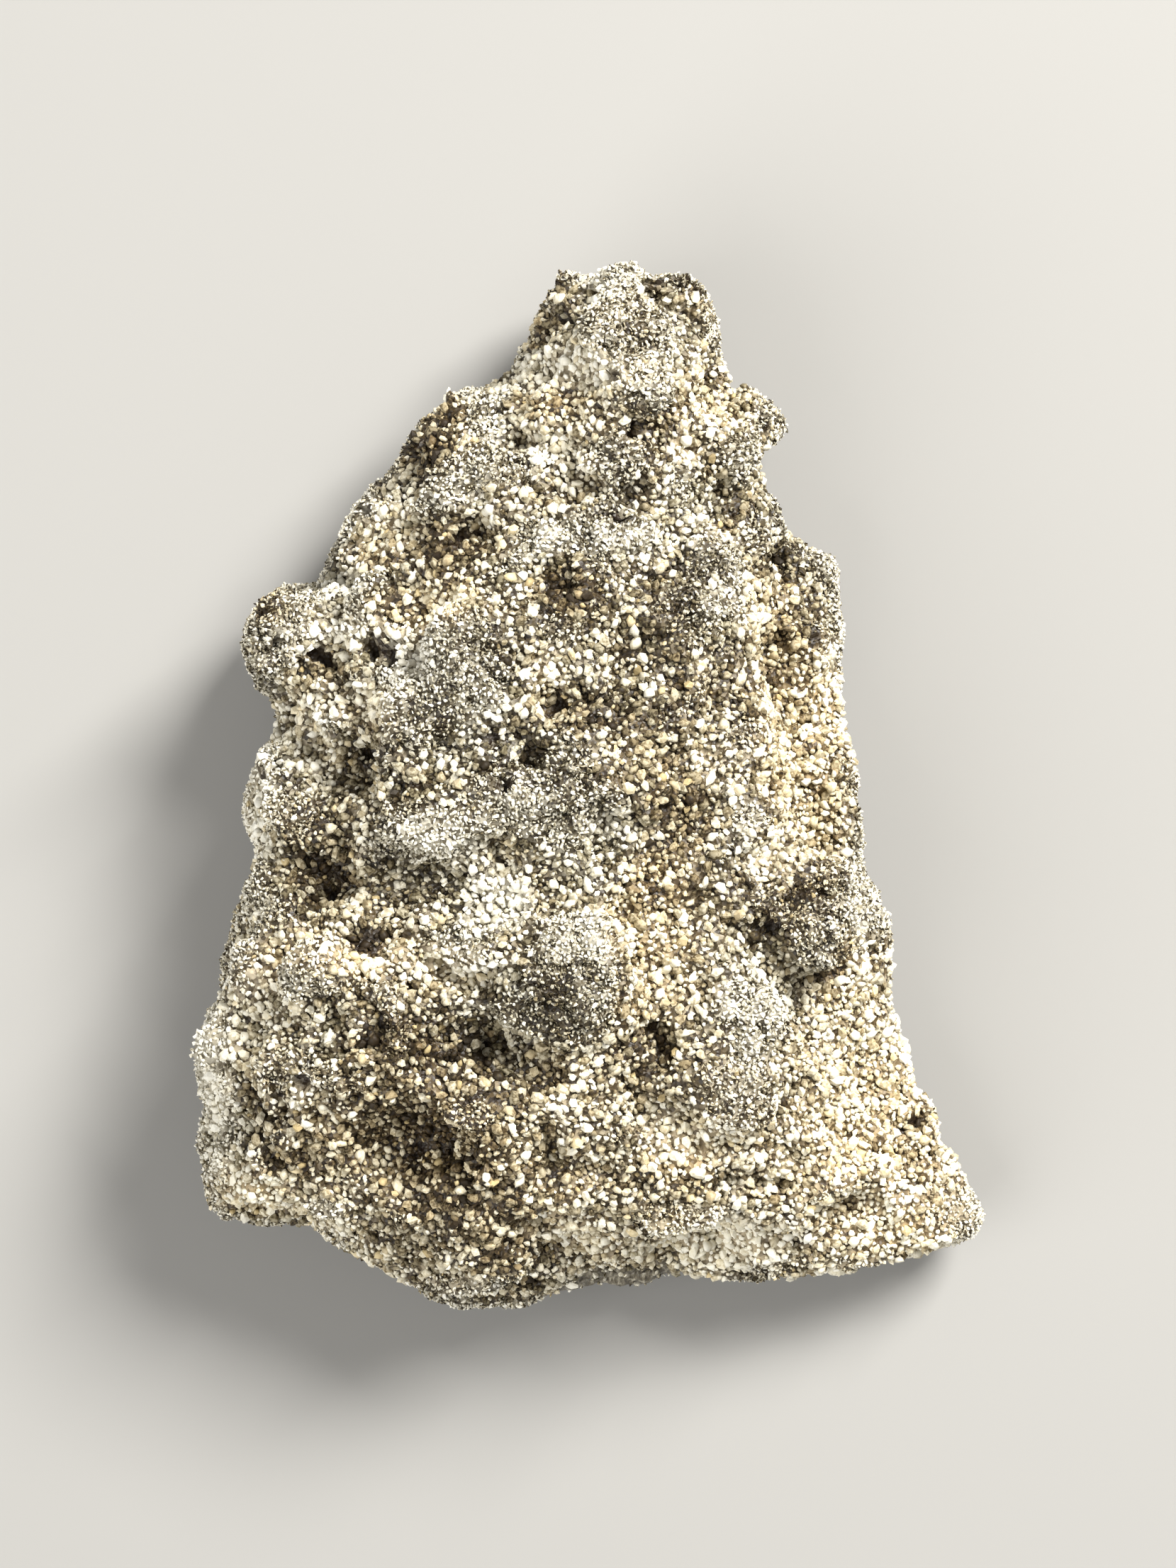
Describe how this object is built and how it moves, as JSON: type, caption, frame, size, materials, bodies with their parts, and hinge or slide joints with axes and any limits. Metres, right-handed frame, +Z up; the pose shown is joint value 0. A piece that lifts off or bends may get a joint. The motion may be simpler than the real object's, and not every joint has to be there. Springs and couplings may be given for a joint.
{
  "type": "fulgurite",
  "caption": "Shard of lightning-fused sand, broad and broken at one end and narrowing to a blunt tip, with a knobbly grainy crust, lying on its worn back.",
  "frame": {"origin": "centre of the bounding box at the level that the shard rests on", "axes": "+Z up, away from the ground it lies on; +Y along its length, from the broad broken end to the narrow tip; +X across it, towards the flank with the lower ledge"},
  "size_m": [0.0226, 0.0298, 0.0112],
  "materials": {
    "fused_sand": "rough, sand grains set in glass"
  },
  "bodies": {
    "root": {"fulgurite": "fused_sand"}
  },
  "joints": []
}
